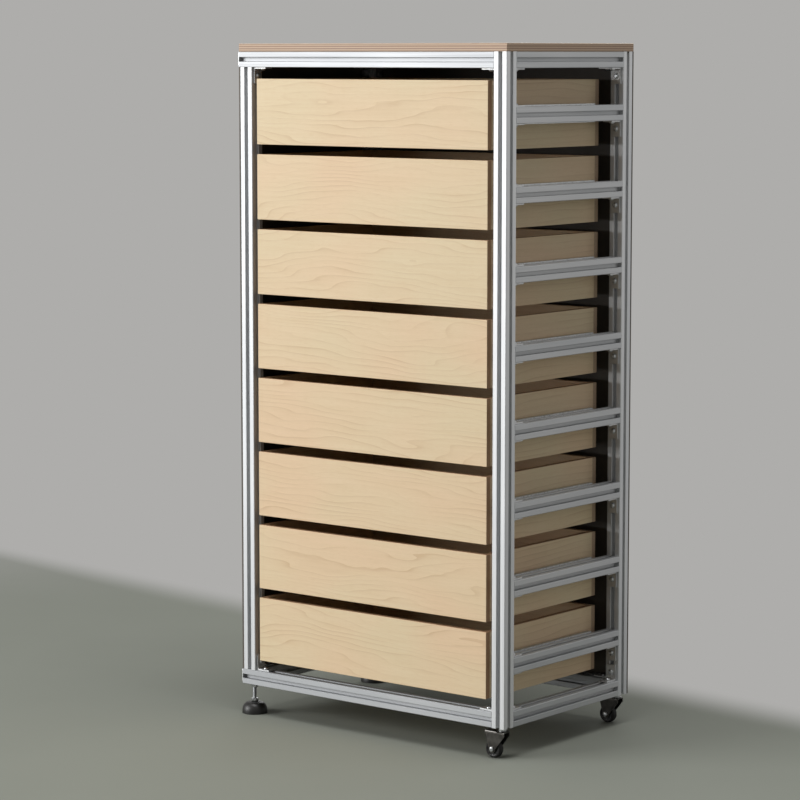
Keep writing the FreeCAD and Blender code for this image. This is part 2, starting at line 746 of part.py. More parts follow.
def feet():
    """Two levelling feet, with their lock nuts and the slot nuts that they screw into."""
    foot = foot_pad()
    stud = foot_stud()

    locknut = new_body("locknut")
    flats = sketch_on(locknut, "locknut_flats", "XY_Plane")
    hexagon(flats, "Sizes.locknut_flats")
    circle(flats, "Sizes.stud_diameter + 2 * Sizes.stud_play")
    pad(locknut, "locknut_height", flats, "Sizes.locknut_height", backwards=True)

    slot_nut = new_body("slot_nut")
    half = "Sizes.tnut_width / 2"
    top = "(Sizes.tnut_width / 2 - Sizes.tnut_taper)"
    section = sketch_on(slot_nut, "slot_nut_section", "YZ_Plane")
    outline(section, [
        (minus(half), "0"), (half, "0"), (half, "Sizes.tnut_side"), (top, "Sizes.tnut_height"),
        (minus(top), "Sizes.tnut_height"), (minus(half), "Sizes.tnut_side"),
    ])
    pad(slot_nut, "slot_nut_length", section, "Sizes.tnut_width", midplane=True)
    thread = sketch_on(slot_nut, "slot_nut_thread", "XY_Plane")
    circle(thread, "Sizes.stud_diameter + 2 * Sizes.stud_play")
    pocket(slot_nut, "slot_nut_hole", thread, "Sizes.tnut_height", backwards=True)

    nuts = []
    for side, y in (("front", "Places.front_axis"), ("rear", "Places.rear_axis")):
        as_node(copy_of(foot, f"{side}_foot_pad", ("Places.left_axis", y, "0")), f"{side}_foot_pad")
        as_node(copy_of(stud, f"{side}_foot_stud", ("Places.left_axis", y, "0")), f"{side}_foot_stud")
        nuts.append(copy_of(locknut, f"{side}_locknut", ("Places.left_axis", y, "Places.base_z")))
        in_slot = ("Places.left_axis", y, "Places.base_z + Sizes.lip_thick")
        nuts.append(copy_of(slot_nut, f"{side}_slot_nut", in_slot))
    group("foot_nuts", nuts)


# Build, check and write

frame()
panels()
corner_brackets()
slides()
drawers()
casters()
feet()
doc.recompute()

for item in doc.Objects:
    if "Invalid" in item.State or "Error" in item.State:
        raise RuntimeError(f"{item.Label} failed: {item.State}")

os.makedirs("parts", exist_ok=True)
for item in nodes:
    shape = Part.getShape(item)
    if shape.isNull() or not shape.isValid():
        raise RuntimeError(f"{item.Label} has no valid shape")
    shape.exportStep(f"parts/{item.Label}.step")
print(f"{len(nodes)} nodes written")
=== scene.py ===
import math

import bmesh
import bpy
import numpy as np
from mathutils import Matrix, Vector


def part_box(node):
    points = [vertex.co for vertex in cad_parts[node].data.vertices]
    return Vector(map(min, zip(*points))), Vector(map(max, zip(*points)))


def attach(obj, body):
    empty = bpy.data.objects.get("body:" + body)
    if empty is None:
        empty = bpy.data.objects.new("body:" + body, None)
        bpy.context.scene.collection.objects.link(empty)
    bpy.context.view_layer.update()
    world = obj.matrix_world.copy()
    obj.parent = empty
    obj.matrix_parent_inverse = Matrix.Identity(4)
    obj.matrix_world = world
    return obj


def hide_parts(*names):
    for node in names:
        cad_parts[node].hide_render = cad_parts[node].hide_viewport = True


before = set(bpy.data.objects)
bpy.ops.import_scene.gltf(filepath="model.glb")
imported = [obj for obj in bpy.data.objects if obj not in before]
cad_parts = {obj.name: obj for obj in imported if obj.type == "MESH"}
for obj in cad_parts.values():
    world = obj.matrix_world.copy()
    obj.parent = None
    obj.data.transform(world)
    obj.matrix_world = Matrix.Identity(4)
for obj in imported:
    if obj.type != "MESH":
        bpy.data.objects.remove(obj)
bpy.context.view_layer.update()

# A cabinet of slotted aluminium extrusion with eight birch plywood drawers on ball-bearing slides.
# Metres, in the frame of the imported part: +X right, -Y front, +Z up, floor at Z = 0. Profiles and the
# sizes of small pieces are in millimetres until MM turns them to metres.
MM = 0.001
X, Y, Z = 0, 1, 2
DRAWERS = range(1, 9)
SIDES = ("front", "rear")


# ---- Finishes ----

def linear(code):
    """sRGB hex to linear: the darkest part is divided by 12.92, the rest follows the 2.4 power."""
    channels = [int(code[i:i + 2], 16) / 255 for i in (1, 3, 5)]
    shades = [c / 12.92 if c <= 0.04045 else ((c + 0.055) / 1.055) ** 2.4 for c in channels]
    return (*shades, 1.0)


def add(tree, kind, inputs=None, out=0, **settings):
    """Add a node with its settings and links and give one of its outputs. Hex codes become colours.

    Inputs are named, or numbered where a node has several of one name: on Map Range 0 is the value,
    1 to 4 are from and to; on a colour Mix 0 is the factor, 6 and 7 are the two colours.
    """
    made = tree.nodes.new("ShaderNode" + kind)
    for name, value in settings.items():
        setattr(made, name, value)
    for name, value in (inputs or {}).items():
        if isinstance(value, bpy.types.NodeSocket):
            tree.links.new(value, made.inputs[name])
        else:
            made.inputs[name].default_value = linear(value) if isinstance(value, str) else value
    return made.outputs[out] if len(made.outputs) else None


def finish(name, constants):
    """A material with one shader; the constants go on the shader's own sockets."""
    material = bpy.data.materials.new(name)
    material.use_nodes = True
    tree = material.node_tree
    tree.nodes.clear()
    surface = add(tree, "BsdfPrincipled", constants)
    add(tree, "OutputMaterial", {"Surface": surface})
    return material, tree, surface.node.inputs, add(tree, "TexCoord", out="Object")


def mottle(tree, where, cell, detail=2.0, roughness=0.5, shift=(0.0, 0.0, 0.0)):
    """Soft noise whose cells have the given real size in millimetres along X, Y and Z."""
    per_metre = [1 / (c * MM) for c in cell]
    scaled = add(tree, "Mapping", {"Vector": where, "Scale": per_metre, "Location": shift})
    return add(tree, "TexNoise",
               {"Vector": scaled, "Scale": 1.0, "Detail": detail, "Roughness": roughness})


def along(axis, length, width):
    """Cell size of a grain that runs along one axis."""
    return [length if i == axis else width for i in range(3)]


def dress(tree, shader, colour, roughness, relief, depth, strength):
    """Link colour, roughness and relief to the shader. The depth of the relief is in millimetres."""
    tree.links.new(colour, shader["Base Color"])
    tree.links.new(roughness, shader["Roughness"])
    raised = add(tree, "Bump", {"Height": relief, "Distance": depth * MM, "Strength": strength})
    tree.links.new(raised, shader["Normal"])


def anodised(name, axis, dark="#C7C9CB", light="#D0D1D2"):
    """Clear anodised extruded aluminium: satin grey-white, with die lines that run along the bar."""
    material, tree, shader, where = finish(name, {"Metallic": 1.0})
    # Die lines lie about 0.3 mm apart; drawn 1 mm apart so that they show.
    lines = mottle(tree, where, along(axis, 400.0, 1.0))
    cloud = mottle(tree, where, along(axis, 300.0, 60.0))
    tone = add(tree, "MapRange", {0: cloud, 1: 0.35, 2: 0.65})
    base = add(tree, "Mix", {0: tone, 6: dark, 7: light}, out=2, data_type="RGBA")
    streak = add(tree, "MapRange", {0: lines, 1: 0.35, 2: 0.7, 3: 0.0, 4: 0.35})
    base = add(tree, "Mix", {0: streak, 6: base, 7: "#AEB0B2"}, out=2, data_type="RGBA")
    satin = add(tree, "MapRange", {0: lines, 1: 0.3, 2: 0.7, 3: 0.54, 4: 0.64})
    dress(tree, shader, base, satin, lines, 0.05, 0.10)
    return material


def die_cast():
    """Die-cast aluminium, tumbled: duller than the bars, with the grain of the mould."""
    material, tree, shader, where = finish("die_cast_aluminium", {"Metallic": 1.0})
    # The cast grain is about 0.2 mm; drawn 0.8 mm so that it shows.
    grain = mottle(tree, where, (0.8, 0.8, 0.8), detail=4.0, roughness=0.6)
    cloud = mottle(tree, where, (16.0, 16.0, 16.0))
    tone = add(tree, "MapRange", {0: cloud, 1: 0.3, 2: 0.7})
    base = add(tree, "Mix", {0: tone, 6: "#B9BABB", 7: "#C9CACA"}, out=2, data_type="RGBA")
    dull = add(tree, "MapRange", {0: grain, 1: 0.3, 2: 0.7, 3: 0.46, 4: 0.60})
    dress(tree, shader, base, dull, grain, 0.1, 0.25)
    return material


# Millimetres between the growth zones of the face veneers.
ZONE = 13.0


def birch(name, thick_axis, grain_axis, middle, thickness, plies, pair_offset=0.0, seed=0.0,
          wander=9.0, edge="#C09C78", end="#A47C5E"):
    """Birch plywood, sanded and oiled: veneers in a stack, each turned a quarter from the one below.

    The face veneers show a faint rotary-cut figure along their grain, the edges show the stack.
    Boards that stand in a pair share one material: pair_offset is their distance from the middle.
    wander is how many growth zones the figure may bend across, edge and end are the colours of the
    plies that show their long grain and their end grain.
    """
    material, tree, shader, where = finish(name, {"IOR": 1.5, "Specular IOR Level": 0.3})
    cross_axis = 3 - thick_axis - grain_axis
    place = add(tree, "SeparateXYZ", {0: where}, out=thick_axis)
    height = add(tree, "SeparateXYZ", {0: where}, out=cross_axis)
    facing = add(tree, "SeparateXYZ", {0: add(tree, "TexCoord", out="Normal")}, out=thick_axis)
    facing = add(tree, "Math", {0: facing}, operation="ABSOLUTE")
    on_edge = add(tree, "MapRange", {0: facing, 1: 0.3, 2: 0.7, 3: 1.0, 4: 0.0})

    # The stack: distance from the board's middle, counted in plies. The outer plies are sanded thinner,
    # by a tenth each, and the odd ones show their end grain.
    from_middle = add(tree, "Math", {0: place, 1: middle}, operation="SUBTRACT")
    from_middle = add(tree, "Math", {0: from_middle}, operation="ABSOLUTE")
    from_middle = add(tree, "Math", {0: from_middle, 1: pair_offset}, operation="SUBTRACT")
    step = add(tree, "Math", {0: from_middle, 1: thickness / (plies - 0.2)}, operation="DIVIDE")
    layer = add(tree, "Math", {0: step}, operation="ROUND")
    odd = add(tree, "Math", {0: layer}, operation="ABSOLUTE")
    odd = add(tree, "Math", {0: odd, 1: 2.0}, operation="MODULO")
    within = add(tree, "Math", {0: step, 1: layer}, operation="SUBTRACT")
    within = add(tree, "Math", {0: within}, operation="ABSOLUTE")
    glue = add(tree, "MapRange", {0: within, 1: 0.38, 2: 0.48, 3: 0.0, 4: 0.6})

    # The growth zones are bent into shallow waves: each darkens slowly and ends in a fine line, and they
    # are strong only in patches. The seed moves every pattern to another place.
    shift = (1.7 * seed, 0.9 * seed, 2.3 * seed)
    bend = mottle(tree, where, along(grain_axis, 330.0, 75.0), detail=2.5, roughness=0.42, shift=shift)
    bend = add(tree, "Math", {0: bend, 1: wander}, operation="MULTIPLY")
    zone = add(tree, "Math", {0: height, 1: 1 / (ZONE * MM), 2: bend}, operation="MULTIPLY_ADD")
    zone = add(tree, "Math", {0: zone}, operation="FRACT")
    line = add(tree, "MapRange", {0: zone, 1: 0.78, 2: 0.97}, interpolation_type="SMOOTHSTEP")
    zone = add(tree, "Math", {0: zone, 1: 2.0}, operation="POWER")
    zone = add(tree, "Math", {0: line, 1: 1.1, 2: zone}, operation="MULTIPLY_ADD")
    patch = mottle(tree, where, along(grain_axis, 190.0, 50.0), shift=shift)
    patch = add(tree, "MapRange", {0: patch, 1: 0.40, 2: 0.66, 3: 0.04, 4: 0.20})
    figure = add(tree, "Math", {0: zone, 1: patch}, operation="MULTIPLY")
    # Vessel marks: real ones are 0.1 mm wide, drawn 0.8 mm wide and 16 mm long so that they show.
    vessels = mottle(tree, where, along(grain_axis, 16.0, 0.8), shift=shift)
    vessels = add(tree, "MapRange", {0: vessels, 1: 0.50, 2: 0.78, 3: 0.0, 4: 0.30})
    bands = mottle(tree, where, along(grain_axis, 140.0, 5.0), shift=shift)
    bands = add(tree, "MapRange", {0: bands, 1: 0.35, 2: 0.70, 3: 0.0, 4: 0.30})
    tone = mottle(tree, where, along(grain_axis, 240.0, 130.0), detail=1.0, shift=shift)
    tone = add(tree, "MapRange", {0: tone, 1: 0.35, 2: 0.65})

    face = add(tree, "Mix", {0: tone, 6: "#EACDAB", 7: "#E6D2AF"}, out=2, data_type="RGBA")
    face = add(tree, "Mix", {0: bands, 6: face, 7: "#DCC199"}, out=2, data_type="RGBA")
    face = add(tree, "Mix", {0: figure, 6: face, 7: "#BF9A70"}, out=2, data_type="RGBA")
    face = add(tree, "Mix", {0: vessels, 6: face, 7: "#D0B084"}, out=2, data_type="RGBA")
    end_grain = add(tree, "Mix", {0: bands, 6: end, 7: "#BD9572"}, out=2, data_type="RGBA")
    stack = add(tree, "Mix", {0: odd, 6: edge, 7: end_grain}, out=2, data_type="RGBA")
    stack = add(tree, "Mix", {0: glue, 6: stack, 7: "#5E4334"}, out=2, data_type="RGBA")
    colour = add(tree, "Mix", {0: on_edge, 6: face, 7: stack}, out=2, data_type="RGBA")
    oiled = add(tree, "MapRange", {0: vessels, 1: 0.0, 2: 0.30, 3: 0.50, 4: 0.64})
    dress(tree, shader, colour, oiled, vessels, 0.1, 0.12)
    return material


def dark_board(name, grain_axis):
    """Dark hardboard sheet, pressed: near black with a brown cast and a fine tooth. Its base is painted
    lighter than that, painted light standing in for light inside the shaded cabinet.
    """
    material, tree, shader, where = finish(name, {"Specular IOR Level": 0.3})
    # The pressed fibres are about 0.3 mm wide; drawn 1.4 mm wide so that they show.
    tooth = mottle(tree, where, (1.4, 1.4, 1.4), detail=4.0, roughness=0.6)
    cloud = mottle(tree, where, along(grain_axis, 240.0, 80.0))
    tone = add(tree, "MapRange", {0: cloud, 1: 0.3, 2: 0.7})
    # Painted light: these base colours are lighter than the near-black board, so that the shaded inside
    # of the cabinet shows.
    base = add(tree, "Mix", {0: tone, 6: "#544E47", 7: "#625B53"}, out=2, data_type="RGBA")
    fleck = add(tree, "MapRange", {0: tooth, 1: 0.55, 2: 0.75, 3: 0.0, 4: 0.4})
    base = add(tree, "Mix", {0: fleck, 6: base, 7: "#776B5D"}, out=2, data_type="RGBA")
    matt = add(tree, "MapRange", {0: tooth, 1: 0.3, 2: 0.7, 3: 0.48, 4: 0.64})
    dress(tree, shader, base, matt, tooth, 0.1, 0.15)
    return material


def steel(name, dark, light, smooth, rough, cell):
    """Plated steel: a smooth metal whose plating varies in clouds of the given size."""
    material, tree, shader, where = finish(name, {"Metallic": 1.0})
    cloud = mottle(tree, where, (cell, cell, cell), detail=4.0, roughness=0.6)
    tone = add(tree, "MapRange", {0: cloud, 1: 0.35, 2: 0.65})
    base = add(tree, "Mix", {0: tone, 6: dark, 7: light}, out=2, data_type="RGBA")
    worn = add(tree, "MapRange", {0: cloud, 1: 0.3, 2: 0.7, 3: smooth, 4: rough})
    # Rolling marks of the sheet are finer than this; drawn 0.6 mm wide.
    fine = mottle(tree, where, (0.6, 6.0, 0.6))
    dress(tree, shader, base, worn, fine, 0.03, 0.15)
    return material


def rubber():
    """Black rubber tyre, moulded: matt, with a little dust in its grain."""
    material, tree, shader, where = finish("black_rubber", {"Specular IOR Level": 0.35})
    # The moulded grain is about 0.3 mm; drawn 1.1 mm so that it shows.
    grain = mottle(tree, where, (1.1, 1.1, 1.1), detail=4.0, roughness=0.6)
    dust = mottle(tree, where, (7.5, 7.5, 7.5), detail=3.0)
    dust = add(tree, "MapRange", {0: dust, 1: 0.45, 2: 0.8, 3: 0.0, 4: 0.5})
    base = add(tree, "Mix", {0: dust, 6: "#121212", 7: "#2C2B29"}, out=2, data_type="RGBA")
    matt = add(tree, "MapRange", {0: grain, 1: 0.3, 2: 0.7, 3: 0.60, 4: 0.80})
    dress(tree, shader, base, matt, grain, 0.1, 0.3)
    return material


def nylon():
    """Black nylon, injection moulded: soft gloss over a fine spark-eroded texture."""
    material, tree, shader, where = finish("black_nylon", {"IOR": 1.53})
    # The eroded texture is about 0.1 mm; drawn 0.7 mm so that it shows.
    grain = mottle(tree, where, (0.7, 0.7, 0.7), detail=3.0, roughness=0.55)
    cloud = mottle(tree, where, (25.0, 25.0, 25.0))
    tone = add(tree, "MapRange", {0: cloud, 1: 0.3, 2: 0.7})
    base = add(tree, "Mix", {0: tone, 6: "#101010", 7: "#1B1A19"}, out=2, data_type="RGBA")
    gloss = add(tree, "MapRange", {0: grain, 1: 0.3, 2: 0.7, 3: 0.34, 4: 0.50})
    dress(tree, shader, base, gloss, grain, 0.08, 0.2)
    return material


def paint(material, *names):
    """Give CAD nodes a material in every slot."""
    for name in names:
        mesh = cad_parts[name].data
        if not mesh.materials:
            mesh.materials.append(material)
        for index in range(len(mesh.materials)):
            mesh.materials[index] = material


# ---- Making surfaces ----

SMOOTH_UP_TO = math.radians(35)
DOUBLED = 0.001 * MM


def piece(name, points, quads, material, body, slot, replaced=()):
    """A closed mesh from arrays: doubled points merged, faces turned outwards, smooth up to an angle."""
    mesh = bpy.data.meshes.new(name)
    faces = quads.tolist() if isinstance(quads, np.ndarray) else quads
    mesh.from_pydata(np.reshape(points, (-1, 3)).tolist(), [], faces)
    shell = bmesh.new()
    shell.from_mesh(mesh)
    bmesh.ops.remove_doubles(shell, verts=shell.verts, dist=DOUBLED)
    bmesh.ops.recalc_face_normals(shell, faces=shell.faces)
    shell.to_mesh(mesh)
    shell.free()
    mesh.shade_smooth()
    mesh.set_sharp_from_angle(angle=SMOOTH_UP_TO)
    mesh.materials.append(material)
    made = bpy.data.objects.new(name, mesh)
    bpy.context.scene.collection.objects.link(made)
    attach(made, body)
    if replaced:
        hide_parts(*replaced)
    return made


def ring_quads(rings, count, closed=False):
    """Quads between rings of points numbered ring by ring; closed joins the last ring to the first."""
    here = np.arange(rings if closed else rings - 1)[:, None]
    step = np.arange(count)[None, :]
    ahead = (step + 1) % count
    above = (here + 1) % rings
    corners = [here * count + step, here * count + ahead, above * count + ahead, above * count + step]
    return np.stack(corners, -1).reshape(-1, 4)


def turned(profile, count, centre=(0, 0, 0), axis=Z, radius=None):
    """A profile (radius, height) turned about an axis through a centre.

    About Z a point is (r cos a, r sin a, h); about Y it is (r sin a, h, r cos a). Lengths are in
    millimetres. A function may give the radii from the profile's radii, heights and the angles.
    """
    profile = np.asarray(profile, float)
    angles = np.arange(count)[None, :] * 2 * math.pi / count
    radii = np.repeat(profile[:, :1], count, axis=1)
    heights = np.repeat(profile[:, 1:], count, axis=1)
    if radius is not None:
        radii = radius(radii, heights, angles)
    first, second = radii * np.cos(angles), radii * np.sin(angles)
    turn = [first, second, heights] if axis == Z else [second, heights, first]
    return np.stack(turn, -1) * MM + np.asarray(centre)


def hexagon(angles, flats):
    """Radius of a hexagon: half the flats over the cosine of the angle from a flat's middle."""
    from_flat = (angles + math.pi / 6) % (math.pi / 3) - math.pi / 6
    return flats / 2 / np.cos(from_flat)


def mirrored(profile):
    """Half a profile and its mirror image, so that the whole runs from one side to the other."""
    return profile + [(radius, -height) for radius, height in reversed(profile)]


def carried(points, quads, seats):
    """Copies of a small shape. A seat is an origin and the directions of the shape's X and Z."""
    seats = np.asarray(seats, float)
    side, up = seats[:, 1], seats[:, 2]
    turn = np.stack([side, np.cross(up, side), up], axis=-1)
    points = np.reshape(points, (-1, 3))
    copies = np.einsum("sij,pj->spi", turn, points) + seats[:, :1]
    offsets = np.arange(len(seats))[:, None, None] * len(points)
    return copies, (np.asarray(quads)[None] + offsets).reshape(-1, 4)


def block(*extremes):
    """Corner points and faces of a straight board between its lowest and its highest corner."""
    corners = [[extremes[i][X], extremes[j][Y], extremes[k][Z]]
               for i in (0, 1) for j in (0, 1) for k in (0, 1)]
    faces = [(0, 1, 3, 2), (4, 6, 7, 5), (0, 4, 5, 1), (2, 3, 7, 6), (0, 2, 6, 4), (1, 5, 7, 3)]
    return np.array(corners), np.array(faces)


def eased(made, width):
    """Round every edge by a width in millimetres."""
    rounding = made.modifiers.new("eased_edges", "BEVEL")
    rounding.width = width * MM
    rounding.segments = 2
    rounding.harden_normals = True


SANDED, TUMBLED = 0.7, 0.5


def board(name, lowest, highest, material, body, replaced=()):
    """A plywood board whose edges are broken by sanding."""
    made = piece(name, *block(lowest, highest), material, body, "birch_plywood", replaced)
    eased(made, SANDED)


# ---- Places read from the frame ----

def low(node):
    """Lowest corner of a CAD node at rest."""
    return np.array(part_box(node)[0])


def high(node):
    """Highest corner of a CAD node at rest."""
    return np.array(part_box(node)[1])


post_low, post_high = low("left_front_post"), high("left_front_post")
far_low, far_high = low("right_rear_post"), high("right_rear_post")
half = (post_high[X] - post_low[X]) / 2
# The opening between the left and right posts, the posts' middles, and the room between front and rear.
BAY = (post_high[X], far_low[X])
AXES_X = (post_low[X] + half, far_high[X] - half)
AXES_Y = (post_low[Y] + half, far_high[Y] - half)
INNER_Y = (post_high[Y], far_low[Y])
UNDER_TOP = low("top_front_bar")[Z]
OVER_BOTTOM = high("bottom_front_bar")[Z]
# Middle heights of the drawers, which their slides and rails share, and the plywood's thickness.
MIDDLES = [(low(f"drawer_{n}_front")[Z] + high(f"drawer_{n}_front")[Z]) / 2 for n in DRAWERS]
BOARD = high("drawer_1_front")[Y] - low("drawer_1_front")[Y]


def bracket_seats():
    """Each bracket's inner corner and the directions of its two legs."""
    seats = []
    for y in AXES_Y:
        for x, inward in zip(BAY, (1, -1)):
            seats.append(((x, y, UNDER_TOP), (inward, 0, 0), (0, 0, -1)))
            seats.append(((x, y, OVER_BOTTOM), (inward, 0, 0), (0, 0, 1)))
    for x in AXES_X:
        for y, inward in zip(INNER_Y, (1, -1)):
            seats.append(((x, y, UNDER_TOP), (0, inward, 0), (0, 0, -1)))
            seats.append(((x, y, OVER_BOTTOM), (0, inward, 0), (0, 0, 1)))
        for middle in MIDDLES:
            seats.append(((x, INNER_Y[0], middle + half), (0, 1, 0), (0, 0, 1)))
            seats.append(((x, INNER_Y[0], middle - half), (0, 1, 0), (0, 0, -1)))
            seats.append(((x, INNER_Y[1], middle - half), (0, -1, 0), (0, 0, -1)))
    return np.array(seats, float)


# ---- Frame, brackets and sheets ----

cast = die_cast()
zinc = steel("zinc_plated_steel", "#A9ACAE", "#C4C6C7", 0.26, 0.38, 5.0)
# The posts, bars and rails are one anodised aluminium, but their base colours are lit and shaded copies:
# the posts' base is painted lighter, the bars' painted darker to hold down the lamp's highlight on them,
# and the rails' painted darker than the posts'.
paint(anodised("anodised_aluminium_posts_painted_lighter", Z),
      "right_front_post", "right_rear_post", "left_front_post", "left_rear_post")
paint(anodised("anodised_aluminium_bars_painted_darker", X, "#AAACAF", "#B4B6B8"),
      "top_front_bar", "top_rear_bar", "bottom_front_bar", "bottom_rear_bar")
paint(anodised("anodised_aluminium_rails_painted_darker", Y, "#AFB1B3", "#B9BABB"),
      "top_side_rails", "bottom_side_rails", "drawer_rails")
paint(dark_board("hardboard_side_painted_lighter", Z), "left_panel")
paint(dark_board("hardboard_rear_painted_lighter", Z), "back_panel")
paint(zinc, "caster_stems", "foot_nuts", "slide_outer_members")
for n in DRAWERS:
    paint(zinc, f"drawer_{n}_middle_members", f"drawer_{n}_inner_members")


# Corner bracket: length and thickness of its legs, radius of its root, width, and how far out its
# screws sit.
LEG, THICK, ROOT, WIDTH = 31.0, 3.0, 2.5, 20.0
SCREW_OUT = 16.0


def bracket_shape():
    """An L of two legs with a rounded root, carried across its width."""
    bend = np.linspace(-math.pi / 2, -math.pi, 4)
    inner = (THICK + ROOT) + ROOT * np.stack([np.cos(bend), np.sin(bend)], axis=1)
    outline = np.concatenate([[[0, 0], [LEG / 2, 0], [LEG, 0], [LEG, THICK]], inner,
                              [[THICK, LEG], [0, LEG], [0, LEG / 2]]])
    count = len(outline)
    points = np.zeros((2, count, 3))
    points[:, :, [X, Z]] = outline
    points[:, :, Y] = [[-WIDTH / 2], [WIDTH / 2]]
    ends = [list(range(count)), list(range(2 * count - 1, count - 1, -1))]
    return points * MM, ring_quads(2, count).tolist(), ends


def bracket_plates():
    """All brackets as one mesh: the carried L of each seat, closed by its two flat ends."""
    points, quads, ends = bracket_shape()
    seats = bracket_seats()
    copies, walls = carried(points, quads, seats)
    faces = walls.tolist()
    step = copies.shape[1]
    for copy in range(len(seats)):
        faces += [[index + copy * step for index in end] for end in ends]
    return copies, faces


SCREW_STEPS = 12


def button_head():
    """Button head: a straight edge, a dome, and a flat around a hexagon socket.

    The dome's radius falls as the cosine of an angle while its height rises as the sine.
    """
    head, edge, rise, flat, socket, depth = 5.25, 0.6, 3.3, 2.9, 2.0, 1.6
    sweep = np.linspace(0, math.acos(flat / head), 3)
    heights = edge + (rise - edge) * np.sin(sweep) / math.sin(sweep[-1])
    dome = np.stack([head * np.cos(sweep), heights], axis=1)
    hollow = [[socket, rise], [socket, rise - depth], [0, rise - depth]]
    profile = np.concatenate([[[0, 0], [head, 0]], dome, hollow])

    def socketed(radii, heights, angles):
        """The socket's radii follow a hexagon, the others stay round."""
        return np.where(radii == socket, hexagon(angles, 2 * socket), radii)

    return turned(profile, SCREW_STEPS, radius=socketed), ring_quads(len(profile), SCREW_STEPS)


plates = piece("bracket_plates", *bracket_plates(), cast, "root", "cast_bracket", ["corner_brackets"])
eased(plates, TUMBLED)
screw_seats = []
for corner, first, second in bracket_seats():
    for leg, other in ((first, second), (second, first)):
        screw_seats.append((corner + (SCREW_OUT * leg + THICK * other) * MM, leg, other))
piece("bracket_screws", *carried(*button_head(), screw_seats), zinc, "root", "zinc_plated_steel")

# End caps: the rim and its eased edge, the flat face, and the dimple over the bar's core.
CAP = [(0, 0), (14.9, 0), (14.9, 1.4), (14.6, 1.8), (14.2, 2.0), (13.8, 2.0), (3.4, 2.0), (3.0, 2.0),
       (2.6, 1.5), (0, 1.5)]
CAP_STEPS, CAP_NORM = 64, 14


def cap_plate():
    """A plate whose outline is a circle's radius over a high norm of its direction: a soft square."""
    def squared(radii, heights, angles):
        """Each radius over the norm of its direction (cos a, sin a)."""
        sides = np.abs(np.cos(angles)) ** CAP_NORM + np.abs(np.sin(angles)) ** CAP_NORM
        return radii / sides ** (1 / CAP_NORM)

    return turned(CAP, CAP_STEPS, radius=squared), ring_quads(len(CAP), CAP_STEPS)


# The free ends of the front and rear bars are at the left.
cap_seats = []
for name in ("top_front_bar", "top_rear_bar", "bottom_front_bar", "bottom_rear_bar"):
    middle = (low(name) + high(name)) / 2
    cap_seats.append(((low(name)[X], middle[Y], middle[Z]), (0, 1, 0), (-1, 0, 0)))
piece("bar_end_caps", *carried(*cap_plate(), cap_seats), cast, "root", "cast_bracket")

# The sheets are screwed to the posts' slots: six heads up each post, on the sheet's outer face.
SHEET_HEADS, SHEET_INSET = 6, 45 * MM


def head_heights(sheet):
    """Heights of a sheet's screws: even steps between an inset at its foot and at its top."""
    return np.linspace(low(sheet)[Z] + SHEET_INSET, high(sheet)[Z] - SHEET_INSET, SHEET_HEADS)


sheet_seats = []
for z in head_heights("left_panel"):
    sheet_seats += [((low("left_panel")[X], y, z), (0, 1, 0), (-1, 0, 0)) for y in AXES_Y]
for z in head_heights("back_panel"):
    sheet_seats += [((x, high("back_panel")[Y], z), (1, 0, 0), (0, 1, 0)) for x in AXES_X]
piece("sheet_screws", *carried(*button_head(), sheet_seats), zinc, "root", "zinc_plated_steel")

# ---- Plywood ----

TOP_PLIES, WALL_PLIES, BOTTOM_PLIES = 7, 9, 5
# A drawer's bottom: its lower and upper face over the drawer's foot, and how far in its edges begin.
BOTTOM = (8 * MM, 14 * MM)
BOTTOM_THICK = 6 * MM
IN_GROOVE = 7 * MM

top_low, top_high = low("top_panel"), high("top_panel")
top_ply = birch("birch_ply_top", Z, X, (top_low[Z] + top_high[Z]) / 2, top_high[Z] - top_low[Z],
                TOP_PLIES, seed=3.0, edge="#CDB49A", end="#A6887A")
board("top_board", top_low, top_high, top_ply, "root", ["top_panel"])

front_low, front_high = low("drawer_1_front"), high("drawer_1_front")
box_back = high("drawer_1_box")[Y]
centre_x = (front_low[X] + front_high[X]) / 2
side_offset = (front_high[X] - front_low[X] - BOARD) / 2
front_ply = birch("birch_ply_fronts", Y, X, front_low[Y] + BOARD / 2, BOARD, WALL_PLIES)
side_ply = birch("birch_ply_sides", X, Y, centre_x, BOARD, WALL_PLIES, pair_offset=side_offset,
                 seed=5.0, wander=3.0)
back_ply = birch("birch_ply_backs", Y, X, box_back - BOARD / 2, BOARD, WALL_PLIES, seed=7.0,
                 edge="#CDB49A", end="#B3957A")
# The bottoms' edges are hidden in their grooves, so their stack is centred nowhere in particular.
bottom_ply = birch("birch_ply_bottoms", Z, X, 0.0, BOTTOM_THICK, BOTTOM_PLIES, seed=9.0)

for n, middle in zip(DRAWERS, MIDDLES):
    body = f"drawer_{n}"
    lowest, highest = low(f"drawer_{n}_front"), high(f"drawer_{n}_front")
    back = high(f"drawer_{n}_box")[Y]
    board(f"drawer_{n}_front_board", lowest, highest, front_ply, body, [f"drawer_{n}_front"])
    board(f"drawer_{n}_left_board", (lowest[X], highest[Y], lowest[Z]),
          (lowest[X] + BOARD, back - BOARD, highest[Z]), side_ply, body, [f"drawer_{n}_box"])
    board(f"drawer_{n}_right_board", (highest[X] - BOARD, highest[Y], lowest[Z]),
          (highest[X], back - BOARD, highest[Z]), side_ply, body)
    board(f"drawer_{n}_back_board", (lowest[X], back - BOARD, lowest[Z]),
          (highest[X], back, highest[Z]), back_ply, body)
    board(f"drawer_{n}_bottom_board",
          (lowest[X] + IN_GROOVE, lowest[Y] + IN_GROOVE, lowest[Z] + BOTTOM[0]),
          (highest[X] - IN_GROOVE, back - IN_GROOVE, lowest[Z] + BOTTOM[1]), bottom_ply, body)

# ---- Slides: cages, balls and screws ----

